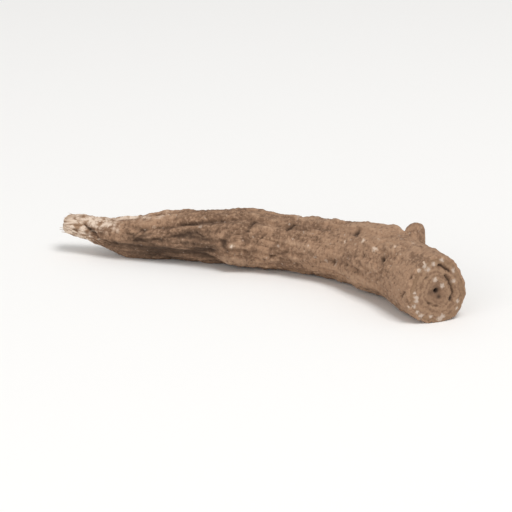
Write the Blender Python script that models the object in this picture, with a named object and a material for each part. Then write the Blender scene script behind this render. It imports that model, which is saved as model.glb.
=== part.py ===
"""One dried punarnava root, sawn across at its crown and lying on the ground.

The root is a single grown body. It tapers from a thick sawn crown, past a bend, to a thin
torn tail that curls up off the ground. Its skin is a grid rolled round a curved centre line
and closed at both ends. Wrinkles, furrows, scars and the cut face are raised from that skin
by formulas, and the stubs of three side rootlets are fused to it. X runs from the tail (-X)
to the crown (+X), the crown turns towards -Y, and the underside rests on Z = 0.
"""

import math

import bmesh
import bpy
import numpy as np
from mathutils import Matrix, Vector, noise

MM = 0.001

# Centre line, from the crown to the tail, in mm: X and Y of the axis, the gap left between
# the underside and the ground, and the radius. The gaps leave three low places.
STATIONS = (
    (33.4, -21.2, 0.00, 6.3),
    (29.6, -12.6, 0.10, 6.5),
    (24.2, -4.0, 0.30, 6.4),
    (16.8, 4.0, 0.10, 5.8),
    (9.9, 8.3, 0.00, 5.5),
    (-3.3, 12.7, 0.30, 5.9),
    (-16.6, 16.4, 0.00, 5.1),
    (-25.1, 18.2, 0.50, 4.2),
    (-31.9, 19.8, 2.50, 2.9),
    (-37.2, 20.9, 4.15, 2.05),
)
CENTRE_SAMPLES = 400

# Rows and columns of the skin.
AROUND = 56
FACE_ROWS = 12
RIM_ROWS = 2
BODY_ROWS = 74
TAIL_ROWS = 4
SEAM_WELD = 1e-6

# The underside is pressed flat by this much, in mm, at its low places.
PRESSED_FLAT = 0.32

# The sawn crown, in mm, shares of the radius and radians: a worn edge, a cut that leans, a
# face that is a little domed, and a pith hole.
RIM_ROUNDING = 0.55
CUT_LEAN = 0.10
CUT_LEAN_TOWARDS = math.radians(200)
FACE_DOME = 0.35
PITH_DEPTH = 0.7
PITH_WIDTH = 0.13
CENTRE_CALM = 0.35

# Cracks that follow the rings of the cut face: share of the radius, the angle at the middle
# and the reach to each side in degrees, and depth in mm.
RING_CRACKS = (
    (0.755, -22, 22, 0.4),
    (0.560, -77, 58, 0.4),
)
RING_CRACK_WIDTH = 0.075
RING_CRACK_FULL = 0.7

# Broad form of the dried body: shares of the radius, and a turn in radians per mm.
OVAL = 0.05
OVAL_START = 0.6
TRIANGLE = 0.035
FORM_DRIFT = 0.03
LUMP_HEIGHT = 0.6
LUMP_RUN = 10.0
LUMP_GRAIN = 0.9
LUMP_SEED = 5.0

# Lengthwise wrinkles left as the root shrank, in mm. They are lower on thin parts, and at
# the crown they have only a share of their height.
WRINKLE_HEIGHT = 1.15
WRINKLE_MEAN = 0.22
WRINKLE_SPACING = 2.7
WRINKLE_RUN = 15.0
WRINKLE_TWIST = 0.012
FULL_RADIUS = 6.0
CROWN_SHARE = 0.35
CROWN_RUN = 42.0

# Furrows: start and end along the root in mm, the angle at each in degrees, then width and
# depth in mm. Angles run from the top, over the side that faces -Y, to the underside.
FURROWS = (
    (49.0, 75.5, 27, 58, 1.0, 0.85),
    (58.0, 77.0, 62, 92, 1.1, 0.35),
    (4.0, 42.0, 318, 296, 1.2, 0.60),
    (26.0, 64.0, 232, 250, 1.1, 0.55),
    (14.0, 36.0, 98, 88, 1.0, 0.40),
    (62.0, 84.0, 330, 312, 0.8, 0.50),
    (79.5, 89.5, 120, 5, 0.6, 0.90),
)
FURROW_FADE = 5.0

# The side that dried hollow under the tail, and the fold that ends it.
HOLLOW_FROM, HOLLOW_TO = 53.5, 79.0
HOLLOW_RISE, HOLLOW_FALL = 5.0, 6.0
HOLLOW_CENTRE = math.radians(114)
HOLLOW_WIDTH = math.radians(36)
HOLLOW_DEPTH = 0.18
FOLD_AT = 53.0
FOLD_WIDTH = 1.3
FOLD_HEIGHT = 0.45
FOLD_CENTRE = math.radians(98)
FOLD_REACH = math.radians(38)

# Rootlet scars: distance along the root in mm, angle in degrees, then radius and height in
# mm. A scar with a negative height is a pit.
SCARS = (
    (23.6, 26, 0.9, -0.7),
    (12.5, 60, 0.9, -0.6),
    (35.0, 272, 1.5, 0.6),
    (41.4, 30, 1.0, -0.4),
    (49.4, 43, 0.9, -0.35),
    (73.5, 8, 0.9, 0.4),
    (29.0, 150, 1.2, 0.4),
    (10.0, 345, 3.2, -0.55),
    (17.4, 345, 1.9, 0.6),
    (54.5, 5, 3.6, -0.45),
    (63.5, 0, 3.6, 0.35),
    (80.0, 0, 2.0, -0.25),
    (86.0, 0, 2.0, 0.45),
)
SCAR_REACH = 2.5

# Stubs of side rootlets: distance along the root in mm, angle in degrees, then the radius
# at its root inside the skin, the radius at its broken end and its length over the skin in mm.
STUBS = (
    (14.0, 326, 2.1, 1.8, 3.1),
    (49.0, 248, 1.8, 1.1, 1.0),
    (63.5, 286, 1.6, 1.0, 1.3),
)
STUB_SIDES = 14
STUB_LEAN = math.radians(32)
STUB_SUNK = 2.4
STUB_ROUNDING = 0.75

# The tail is torn off: its end is ragged over the last few mm.
TEAR_RUN = 5.0
TEAR_HEIGHT = 1.3
TEAR_GRAIN = 1.6
TEAR_SEED = 2.5
TAIL_DOME = 0.95

BARK_COLOUR = (0.33, 0.22, 0.14, 1.0)
BARK_ROUGHNESS = 0.9


def smooth_step(low, high, value):
    """0 below low, 1 above high, and an even curve between."""
    share = min(1.0, max(0.0, (value - low) / (high - low)))
    return share * share * (3 - 2 * share)


def bell(distance, width):
    """A bump of height 1 that is about three widths across."""
    return math.exp(-((distance / width) ** 2))


def turn(angle):
    """The same angle, between minus and plus half a turn."""
    return (angle + math.pi) % (2 * math.pi) - math.pi


def ring_noise(theta, grain, along):
    """Smooth noise that closes on itself round the root."""
    return noise.noise(Vector((math.cos(theta) * grain, math.sin(theta) * grain, along)))


class CentreLine:
    """The curved axis of the root, read by distance from the crown in mm."""

    def __init__(self, stations, samples):
        points = np.array(stations, float)
        steps = np.linalg.norm(np.diff(points[:, :2], axis=0), axis=1)
        knots = np.concatenate([[0.0], np.cumsum(steps)])
        slopes = np.gradient(points, knots, axis=0)
        at = np.linspace(0.0, knots[-1], samples)
        k = np.clip(np.searchsorted(knots, at, side="right") - 1, 0, len(steps) - 1)
        step = steps[k][:, None]
        u = (at - knots[k])[:, None] / step
        table = (
            (2 * u**3 - 3 * u**2 + 1) * points[k]
            + (u**3 - 2 * u**2 + u) * step * slopes[k]
            + (3 * u**2 - 2 * u**3) * points[k + 1]
            + (u**3 - u**2) * step * slopes[k + 1]
        )
        self.radii = table[:, 3]
        height = table[:, 2] + self.radii - PRESSED_FLAT
        self.axis = np.column_stack([table[:, :2], height])
        gaps = np.linalg.norm(np.diff(self.axis, axis=0), axis=1)
        self.run = np.concatenate([[0.0], np.cumsum(gaps)])
        self.length = float(self.run[-1])
        self.headings = np.gradient(self.axis, self.run, axis=0)

    def radius(self, s):
        return float(np.interp(s, self.run, self.radii))

    def vector(self, table, s):
        return Vector([float(np.interp(s, self.run, table[:, axis])) for axis in range(3)])

    def frame(self, s):
        """The point on the axis and the directions towards the tail, up and to -Y."""
        heading = self.vector(self.headings, s).normalized()
        side = Vector((0, 0, 1)).cross(heading).normalized()
        return self.vector(self.axis, s), heading, heading.cross(side), side


CENTRE = CentreLine(STATIONS, CENTRE_SAMPLES)


def broad_form(s, theta):
    """Share by which a section departs from a circle: a slowly turning oval and triangle."""
    drift = FORM_DRIFT * s
    oval = OVAL * math.cos(2 * theta - drift - OVAL_START)
    return oval + TRIANGLE * math.cos(3 * theta + drift)


def lumps(s, theta):
    """Low swellings, in mm."""
    return LUMP_HEIGHT * ring_noise(theta, LUMP_GRAIN, LUMP_SEED + s / LUMP_RUN)


def wrinkles(s, theta):
    """Rounded ridges with narrow valleys between them, drawn out along the root, in mm."""
    grain = FULL_RADIUS / WRINKLE_SPACING
    ridge = abs(ring_noise(theta + WRINKLE_TWIST * s, grain, s / WRINKLE_RUN))
    height = WRINKLE_HEIGHT * (CROWN_SHARE + (1 - CROWN_SHARE) * smooth_step(0, CROWN_RUN, s))
    return height * (ridge - WRINKLE_MEAN)


def furrows(s, theta, radius):
    """The deep lengthwise furrows, in mm and negative."""
    total = 0.0
    for start, end, first_angle, last_angle, width, depth in FURROWS:
        inside = smooth_step(start, start + FURROW_FADE, s)
        inside *= 1 - smooth_step(end - FURROW_FADE, end, s)
        share = (s - start) / (end - start)
        centre = math.radians(first_angle + share * (last_angle - first_angle))
        total -= inside * depth * bell(turn(theta - centre) * radius, width)
    return total


def hollow_and_fold(s, theta, radius):
    """The side that dried hollow under the tail, and the raised fold where it stops, in mm."""
    inside = smooth_step(HOLLOW_FROM, HOLLOW_FROM + HOLLOW_RISE, s)
    inside *= 1 - smooth_step(HOLLOW_TO - HOLLOW_FALL, HOLLOW_TO, s)
    hollow = HOLLOW_DEPTH * radius * inside * bell(turn(theta - HOLLOW_CENTRE), HOLLOW_WIDTH)
    fold = FOLD_HEIGHT * bell(s - FOLD_AT, FOLD_WIDTH) * bell(turn(theta - FOLD_CENTRE), FOLD_REACH)
    return fold - hollow


def scars(s, theta, radius):
    """Low bosses and pits where rootlets came away, in mm."""
    total = 0.0
    for at, angle, width, height in SCARS:
        across = turn(theta - math.radians(angle)) * radius
        distance = math.hypot(s - at, across) / width
        if distance < SCAR_REACH:
            total += height * bell(distance, 1.0)
    return total


def reach(s, share, theta):
    """Distance of the skin from the axis in mm, at a share of the section's radius."""
    radius = CENTRE.radius(s)
    fullness = min(1.0, radius / FULL_RADIUS)
    relief = fullness * (lumps(s, theta) + wrinkles(s, theta)) + furrows(s, theta, radius)
    relief += hollow_and_fold(s, theta, radius) + scars(s, theta, radius)
    into_rim = 1 - min(1.0, s / RIM_ROUNDING)
    relief -= RIM_ROUNDING * (1 - math.sqrt(1 - into_rim * into_rim))
    calm = smooth_step(0, CENTRE_CALM, share)
    return share * (radius * (1 + broad_form(s, theta)) + relief * calm)


def ring_cracks(share, theta):
    """Depth of the cracks that follow the rings, in mm."""
    total = 0.0
    for at, middle, reach_deg, depth in RING_CRACKS:
        aside = abs(turn(theta - math.radians(middle))) / math.radians(reach_deg)
        inside = 1 - smooth_step(RING_CRACK_FULL, 1, aside)
        total += depth * inside * bell(share - at, RING_CRACK_WIDTH)
    return total


def cut_face(share, theta, radius):
    """How far the sawn face stands out of the crown, at a share of the radius, in mm."""
    lean = CUT_LEAN * radius * share * math.cos(theta - CUT_LEAN_TOWARDS)
    dome = FACE_DOME * (1 - share * share)
    return lean + dome - PITH_DEPTH * bell(share, PITH_WIDTH) - ring_cracks(share, theta)


def torn_tail(s, share, theta):
    """How far the torn end stands out along the root, in mm."""
    near = smooth_step(CENTRE.length - TEAR_RUN, CENTRE.length, s)
    tear = TEAR_HEIGHT * share * near * ring_noise(theta, TEAR_GRAIN, TEAR_SEED)
    if s < CENTRE.length:
        return tear
    return tear + TAIL_DOME * CENTRE.radius(s) * math.sqrt(max(0.0, 1 - share * share))


def skin_point(s, share, theta):
    """A point of the skin in mm: at distance s, or at a share of the radius on an end."""
    point, heading, up, side = CENTRE.frame(s)
    outward = up * math.cos(theta) + side * math.sin(theta)
    along = torn_tail(s, share, theta)
    along -= cut_face(share, theta, CENTRE.radius(s)) * max(0.0, 1 - s / RIM_ROUNDING)
    place = point + outward * reach(s, share, theta) + heading * along
    place.z = max(place.z, 0.0)
    return place


def skin_rows():
    """(distance, share of the radius) of each row, from the crown's middle to the tail's."""
    rows = [(0.0, k / FACE_ROWS) for k in range(FACE_ROWS + 1)]
    for k in range(1, RIM_ROWS + 1):
        rows.append((RIM_ROUNDING * (1 - math.cos(math.pi / 2 * k / RIM_ROWS)), 1.0))
    body = CENTRE.length - RIM_ROUNDING
    for k in range(1, BODY_ROWS + 1):
        rows.append((RIM_ROUNDING + body * k / BODY_ROWS, 1.0))
    for k in range(1, TAIL_ROWS + 1):
        rows.append((CENTRE.length, max(0.0, math.cos(math.pi / 2 * k / TAIL_ROWS))))
    return rows


def add_object(name, shape, collection):
    """An object in this collection that holds this shape."""
    mesh = bpy.data.meshes.new(name)
    shape.to_mesh(mesh)
    shape.free()
    mesh.shade_smooth()
    obj = bpy.data.objects.new(name, mesh)
    collection.objects.link(obj)
    return obj


def add_skin(collection):
    """A grid rolled up into the skin of the root, with its seam and both ends closed."""
    rows = skin_rows()
    last_row = len(rows) - 1
    shape = bmesh.new()
    bmesh.ops.create_grid(shape, x_segments=last_row, y_segments=AROUND, size=1.0)
    for vert in shape.verts:
        s, share = rows[round((vert.co.x + 1) / 2 * last_row)]
        theta = (vert.co.y + 1) * math.pi
        vert.co = skin_point(s, share, theta) * MM
    bmesh.ops.remove_doubles(shape, verts=shape.verts, dist=SEAM_WELD)
    bmesh.ops.recalc_face_normals(shape, faces=shape.faces)
    return add_object("punarnava_root", shape, collection)


def add_stub(number, stub, collection):
    """The broken stub of one side rootlet, rooted well inside the skin."""
    s, angle, base_radius, end_radius, length = stub
    theta = math.radians(angle)
    foot, heading, up, side = CENTRE.frame(s)
    outward = up * math.cos(theta) + side * math.sin(theta)
    lean = (outward * math.cos(STUB_LEAN) + heading * math.sin(STUB_LEAN)).normalized()
    foot = foot + outward * reach(s, 1.0, theta) - lean * STUB_SUNK
    height = length + STUB_SUNK
    shape = bmesh.new()
    bmesh.ops.create_cone(
        shape,
        cap_ends=True,
        segments=STUB_SIDES,
        radius1=base_radius * MM,
        radius2=end_radius * MM,
        depth=height * MM,
        matrix=Matrix.Translation((0, 0, height * MM / 2)),
    )
    middle = height * MM / 2
    rim = [edge for edge in shape.edges if min(vert.co.z for vert in edge.verts) > middle]
    rounding = STUB_ROUNDING * end_radius * MM
    bmesh.ops.bevel(shape, geom=rim, offset=rounding, segments=3, profile=0.5, affect="EDGES")
    turned = Vector((0, 0, 1)).rotation_difference(lean).to_matrix().to_4x4()
    bmesh.ops.transform(shape, matrix=Matrix.Translation(foot * MM) @ turned, verts=shape.verts)
    return add_object(f"rootlet_stub_{number}", shape, collection)


def fuse(body, collection):
    """Joins every object of the collection to the body and removes them."""
    union = body.modifiers.new("rootlets", "BOOLEAN")
    union.operation = "UNION"
    union.operand_type = "COLLECTION"
    union.collection = collection
    graph = bpy.context.evaluated_depsgraph_get()
    fused = bpy.data.meshes.new_from_object(body.evaluated_get(graph))
    fused.name = body.name
    body.modifiers.remove(union)
    body.data = fused
    for obj in list(collection.objects):
        bpy.data.objects.remove(obj)
    bpy.data.collections.remove(collection)


def bark():
    """Dry, dusty brown bark."""
    material = bpy.data.materials.new("dried_bark")
    material.use_nodes = True
    shader = material.node_tree.nodes["Principled BSDF"]
    shader.inputs["Base Color"].default_value = BARK_COLOUR
    shader.inputs["Roughness"].default_value = BARK_ROUGHNESS
    shader.inputs["Metallic"].default_value = 0.0
    return material


def main():
    for obj in list(bpy.data.objects):
        bpy.data.objects.remove(obj)
    scene_root = bpy.context.scene.collection
    collection = bpy.data.collections.new("dried_punarnava_root")
    scene_root.children.link(collection)
    stubs = bpy.data.collections.new("rootlet_stubs")
    scene_root.children.link(stubs)
    root = add_skin(collection)
    for number, stub in enumerate(STUBS, 1):
        add_stub(number, stub, stubs)
    fuse(root, stubs)
    root.data.materials.clear()
    root.data.materials.append(bark())


main()
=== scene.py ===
"""Finish of one dried punarnava root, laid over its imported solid.

The root is a single grown body: a sawn crown, a bend, and a thin torn tail that curls up.
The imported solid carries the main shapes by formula. This script repeats those formulas on a
finer skin, adds the low relief of dried bark, and dresses the bark, the sawn crown and the
torn wood. Lengths are in millimetres until a mesh is made, and angles round the root run
from the top, over the side that faces -Y, to the underside.
"""

import logging
import math
from dataclasses import dataclass, field
from enum import Enum

import bmesh
import bpy
import numpy as np
from mathutils import Matrix, Vector, noise


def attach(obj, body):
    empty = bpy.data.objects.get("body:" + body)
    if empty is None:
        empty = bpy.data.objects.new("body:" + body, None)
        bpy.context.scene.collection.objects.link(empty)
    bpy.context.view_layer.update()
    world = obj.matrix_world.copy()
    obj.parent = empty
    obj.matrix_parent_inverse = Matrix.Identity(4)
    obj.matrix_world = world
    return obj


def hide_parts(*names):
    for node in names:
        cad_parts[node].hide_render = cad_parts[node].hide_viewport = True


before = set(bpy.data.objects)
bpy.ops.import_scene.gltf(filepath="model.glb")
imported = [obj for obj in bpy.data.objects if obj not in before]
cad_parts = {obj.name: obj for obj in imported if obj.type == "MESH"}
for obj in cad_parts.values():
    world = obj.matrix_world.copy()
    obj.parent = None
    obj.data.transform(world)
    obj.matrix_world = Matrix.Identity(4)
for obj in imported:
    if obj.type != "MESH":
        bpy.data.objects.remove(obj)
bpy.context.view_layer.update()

LOG = logging.getLogger("dried_root")
MM = 0.001
NODE = "punarnava_root"
BODY = "root"

# Places of the factor, the two colours and the result on a Mix node that mixes colours.
MIX_FACTOR, MIX_A, MIX_B, MIX_RESULT = 0, 6, 7, 2
MULTIPLY_ADD = {"operation": "MULTIPLY_ADD"}

Run = tuple[float, float, float, float]
Socket = bpy.types.NodeSocket
Patterns = dict[str, Socket]
Colour = tuple[float, float, float, float]


class Zone(Enum):
    """Part of the root's skin, by how its surface was made."""

    SAWN = 1
    BARK = 0


class Slope(Enum):
    """How the strength of a coat of colour grows across its band."""

    EVEN = "LINEAR"
    SOFT = "SMOOTHSTEP"


def smooth_step(low: float, high: float, value: float) -> float:
    """Gives an even curve from 0 to 1.

    Args:
        low: Value at which the curve leaves 0.
        high: Value at which the curve reaches 1.
        value: Value to read.

    Returns:
        0 below low, 1 above high, and the curve between them.
    """
    share = min(1.0, max(0.0, (value - low) / (high - low)))
    return share * share * (3 - 2 * share)


def bell(distance: float, width: float) -> float:
    """Gives a bump of height 1.

    Args:
        distance: Distance from the middle of the bump.
        width: About a third of the bump's breadth.

    Returns:
        The height of the bump.
    """
    return math.exp(-((distance / width) ** 2))


def plateau(run: Run, value: float) -> float:
    """Gives a plateau of height 1 with even slopes.

    Args:
        run: Where the plateau starts, is full, starts to end, and has ended.
        value: Value to read.

    Returns:
        The height of the plateau.
    """
    start, full, last, end = run
    return smooth_step(start, full, value) * (1 - smooth_step(last, end, value))


def turn(angle: float) -> float:
    """Brings an angle in radians between minus and plus half a turn."""
    return (angle + math.pi) % (2 * math.pi) - math.pi


def ring_noise(theta: float, grain: float, along: float) -> float:
    """Gives smooth noise that closes on itself round the root.

    Args:
        theta: Angle round the root in radians.
        grain: Radius of the circle read in the noise; more makes finer noise.
        along: Place along the root in grains. A whole number added to it only moves the
            noise, so that no two patterns are alike.

    Returns:
        A value of about -0.7 to 0.7.
    """
    return noise.noise(Vector((math.cos(theta) * grain, math.sin(theta) * grain, along)))


def linear(colour: str) -> Colour:
    """Turns an sRGB colour to the linear one that a shader takes.

    Args:
        colour: Hex value such as "#957861".

    Returns:
        Red, green, blue and an alpha of 1.
    """
    parts = [int(colour[i : i + 2], 16) / 255 for i in (1, 3, 5)]
    red, green, blue = (p / 12.92 if p <= 0.04045 else ((p + 0.055) / 1.055) ** 2.4 for p in parts)
    return red, green, blue, 1.0


def add_node(
    tree: bpy.types.NodeTree,
    kind: str,
    settings: dict[str, object],
    inputs: dict[str | int, object],
    output: str | int = 0,
) -> Socket:
    """Adds one node with its settings, values and links.

    Args:
        tree: Node tree that takes the node.
        kind: Type name of the node.
        settings: The node's own properties by name.
        inputs: For each input, by name or place, a value or the output socket to link from.
        output: Name or place of the output that is used.

    Returns:
        That output.
    """
    node = tree.nodes.new(kind)
    for name, value in settings.items():
        setattr(node, name, value)
    for key, value in inputs.items():
        if isinstance(value, Socket):
            tree.links.new(value, node.inputs[key])
        else:
            node.inputs[key].default_value = value
    return node.outputs[output]


def start_material(name: str, roughness: float) -> tuple[bpy.types.Material, bpy.types.Node]:
    """Makes a new material.

    Args:
        name: Name of the material.
        roughness: Roughness of the whole surface.

    Returns:
        The material and its shader.
    """
    material = bpy.data.materials.new(name)
    material.use_nodes = True
    shader = material.node_tree.nodes["Principled BSDF"]
    shader.inputs["Roughness"].default_value = roughness
    return material, shader


def skin_marks(tree: bpy.types.NodeTree) -> Patterns:
    """Reads what the skin carries for its finishes.

    Args:
        tree: Node tree that takes the nodes.

    Returns:
        The place on the root pulled straight, how high a point lies over the skin close round
        it, and how far it is worn, by name.
    """
    carried = {"straight": "Vector", "lie": "Fac", "worn": "Fac"}
    return {
        name: add_node(tree, "ShaderNodeAttribute", {"attribute_name": name}, {}, output)
        for name, output in carried.items()
    }


def keep(shape: bmesh.types.BMesh, name: str) -> bpy.types.Object:
    """Makes a finished shape an object of the scene.

    Args:
        shape: The shape in metres, which is freed.
        name: Name of the object and of its mesh.

    Returns:
        The object, at the origin.
    """
    mesh = bpy.data.meshes.new(name)
    shape.to_mesh(mesh)
    shape.free()
    piece = bpy.data.objects.new(name, mesh)
    bpy.context.scene.collection.objects.link(piece)
    return piece


@dataclass(frozen=True)
class Section:
    """One row of the skin: its place on the root and the directions there."""

    s: float
    share: float
    zone: Zone
    radius: float
    point: Vector
    heading: Vector
    up: Vector
    side: Vector

    def outward(self, theta: float) -> Vector:
        """Direction away from the axis at an angle round the root."""
        return self.up * math.cos(theta) + self.side * math.sin(theta)

    def straight(self, theta: float) -> Vector:
        """Place of this point in mm if the root were pulled straight, for the patterns."""
        across = self.share * self.radius
        return Vector((across * math.cos(theta), across * math.sin(theta), self.s))


@dataclass(frozen=True)
class Spot:
    """A point of the plain skin: its distance along the root, its angle, and the radius there."""

    s: float
    theta: float
    radius: float


@dataclass
class CentreLine:
    """The curved axis of the root, from the crown to the tail.

    Each station gives X and Y of the axis, the gap between the underside and the ground, and
    the radius.
    """

    stations: tuple[tuple[float, float, float, float], ...] = (
        (33.4, -21.2, 0.00, 6.3),
        (29.6, -12.6, 0.10, 6.5),
        (24.2, -4.0, 0.30, 6.4),
        (16.8, 4.0, 0.10, 5.8),
        (9.9, 8.3, 0.00, 5.5),
        (-3.3, 12.7, 0.30, 5.9),
        (-16.6, 16.4, 0.00, 5.1),
        (-25.1, 18.2, 0.50, 4.2),
        (-31.9, 19.8, 2.50, 2.9),
        (-37.2, 20.9, 4.15, 2.05),
    )
    samples: int = 400
    pressed_flat: float = 0.32
    radii: np.ndarray = field(init=False)
    axis: np.ndarray = field(init=False)
    run: np.ndarray = field(init=False)
    headings: np.ndarray = field(init=False)
    length: float = field(init=False)

    def __post_init__(self) -> None:
        """Draws the smooth curve through the stations."""
        points = np.array(self.stations, float)
        steps = np.linalg.norm(np.diff(points[:, :2], axis=0), axis=1)
        knots = np.concatenate([[0.0], np.cumsum(steps)])
        slopes = np.gradient(points, knots, axis=0)
        at = np.linspace(0.0, knots[-1], self.samples)
        k = np.clip(np.searchsorted(knots, at, side="right") - 1, 0, len(steps) - 1)
        step = steps[k][:, None]
        u = (at - knots[k])[:, None] / step
        table = (
            (2 * u**3 - 3 * u**2 + 1) * points[k]
            + (u**3 - 2 * u**2 + u) * step * slopes[k]
            + (3 * u**2 - 2 * u**3) * points[k + 1]
            + (u**3 - u**2) * step * slopes[k + 1]
        )
        self.radii = table[:, 3]
        height = table[:, 2] + self.radii - self.pressed_flat
        self.axis = np.column_stack([table[:, :2], height])
        gaps = np.linalg.norm(np.diff(self.axis, axis=0), axis=1)
        self.run = np.concatenate([[0.0], np.cumsum(gaps)])
        self.length = float(self.run[-1])
        self.headings = np.gradient(self.axis, self.run, axis=0)

    def vector(self, table: np.ndarray, s: float) -> Vector:
        """Reads a table of vectors at a distance along the root."""
        return Vector([float(np.interp(s, self.run, table[:, axis])) for axis in range(3)])

    def section(self, s: float, share: float = 1.0, zone: Zone = Zone.BARK) -> Section:
        """Gives one row of the skin.

        Args:
            s: Distance along the root from the crown.
            share: Share of the radius; less than 1 on the two ends.
            zone: How the surface of the row was made.

        Returns:
            The row with its point on the axis and its directions.
        """
        heading = self.vector(self.headings, s).normalized()
        side = Vector((0, 0, 1)).cross(heading).normalized()
        radius = float(np.interp(s, self.run, self.radii))
        point = self.vector(self.axis, s)
        return Section(s, share, zone, radius, point, heading, heading.cross(side), side)


@dataclass(frozen=True)
class Furrow:
    """A deep lengthwise furrow with a narrow slit along its floor."""

    start: float
    end: float
    first_angle: float
    last_angle: float
    width: float
    depth: float
    fade: float = 5.0
    slit_share: float = 0.3
    slit_depth: float = 0.35
    wander: float = 0.35
    wander_run: float = 2.3

    def near(self, s: float) -> bool:
        """Whether the furrow passes this distance along the root."""
        return self.start < s < self.end

    def height(self, spot: Spot) -> tuple[float, float]:
        """Gives the furrow's broad shape and its slit.

        Args:
            spot: Point of the plain skin.

        Returns:
            Height of the broad shape and of the slit, both negative.
        """
        run = (self.start, self.start + self.fade, self.end - self.fade, self.end)
        inside = plateau(run, spot.s)
        share = (spot.s - self.start) / (self.end - self.start)
        centre = math.radians(self.first_angle + share * (self.last_angle - self.first_angle))
        place = Vector((spot.s / self.wander_run, self.first_angle, 0.0))
        wander = self.wander * noise.noise(place)
        across = turn(spot.theta - centre) * spot.radius
        broad = -inside * self.depth * bell(across, self.width)
        slit = -inside * self.slit_depth * bell(across + wander, self.slit_share * self.width)
        return broad, slit


@dataclass(frozen=True)
class Mark:
    """A small thing on the root: its distance along the root and its angle in degrees."""

    at: float
    angle: float

    def across(self, spot: Spot) -> float:
        """Distance round the root from the middle of the mark."""
        return turn(spot.theta - math.radians(self.angle)) * spot.radius


@dataclass(frozen=True)
class Scar(Mark):
    """A boss where a rootlet came away, or a pit where its height is negative."""

    width: float
    height: float
    reach: float = 2.5

    def near(self, s: float) -> bool:
        """Whether the scar reaches this distance along the root."""
        return abs(s - self.at) < self.width * self.reach

    def rise(self, spot: Spot) -> float:
        """Height of the scar at a point of the skin."""
        distance = math.hypot(spot.s - self.at, self.across(spot)) / self.width
        return self.height * bell(distance, 1.0) if distance < self.reach else 0.0


@dataclass(frozen=True)
class BarkCrack(Mark):
    """A short curved crack: its length, and its slant in degrees from the root's length."""

    length: float
    slant: float
    width: float = 0.22
    depth: float = 0.35
    bow: float = 0.10
    taper_start: float = 0.35

    def near(self, s: float) -> bool:
        """Whether the crack reaches this distance along the root."""
        return abs(s - self.at) < self.length

    def drop(self, spot: Spot) -> float:
        """Gives the depth of the crack.

        Args:
            spot: Point of the plain skin.

        Returns:
            The depth there, as a negative height.
        """
        across, along = self.across(spot), spot.s - self.at
        cosine, sine = math.cos(math.radians(self.slant)), math.sin(math.radians(self.slant))
        ahead = along * cosine + across * sine
        aside = across * cosine - along * sine - self.bow * ahead * ahead
        end = 2 * abs(ahead) / self.length
        return -self.depth * (1 - smooth_step(self.taper_start, 1.0, end)) * bell(aside, self.width)


@dataclass(frozen=True)
class PaleFleck(Mark):
    """A small spot rubbed pale, on the bark or at a share of the radius on the sawn face."""

    width: float
    share: float = 1.0
    reach: float = 2.5

    def near(self, s: float) -> bool:
        """Whether the fleck reaches this distance along the root."""
        return abs(s - self.at) < self.reach * self.width

    def rubbed(self, section: Section, theta: float) -> float:
        """Gives the strength of the fleck.

        Args:
            section: Row of the skin.
            theta: Angle round the root.

        Returns:
            Its strength there, from 0 to 1.
        """
        across, turned = self.share * section.radius, math.radians(self.angle)
        centre = Vector((across * math.cos(turned), across * math.sin(turned), self.at))
        return bell((section.straight(theta) - centre).length, self.width)


@dataclass(frozen=True)
class Stub(Mark):
    """The broken stub of a side rootlet that grows out of the skin."""

    foot: float
    end: float
    length: float
    lean: float = math.radians(32)
    flat_top: float = 5.0
    flare: float = 0.55
    ragged: float = 0.08
    ragged_size: float = 1.3
    broken_share: tuple[float, float] = (0.5, 0.9)

    def near(self, s: float) -> bool:
        """Whether the stub's foot reaches this distance along the root."""
        return abs(s - self.at) < self.foot / math.cos(self.lean)

    def rise(self, spot: Spot) -> tuple[float, float, float]:
        """Gives how far the skin is drawn out into the stub.

        Args:
            spot: Point of the plain skin.

        Returns:
            Height of the stub over its foot, the share of it that this point takes, and the
            share of the broken end here.
        """
        across = self.across(spot)
        distance = math.hypot((spot.s - self.at) * math.cos(self.lean), across)
        dome = max(0.0, 1 - (distance / self.foot) ** self.flat_top) ** self.flare
        place = Vector((spot.s * self.ragged_size, across * self.ragged_size, self.at))
        start, full = (self.end * share for share in self.broken_share)
        broken = 1 - smooth_step(start, full, distance)
        return self.length * (1 + self.ragged * noise.noise(place)), dome, broken


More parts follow.
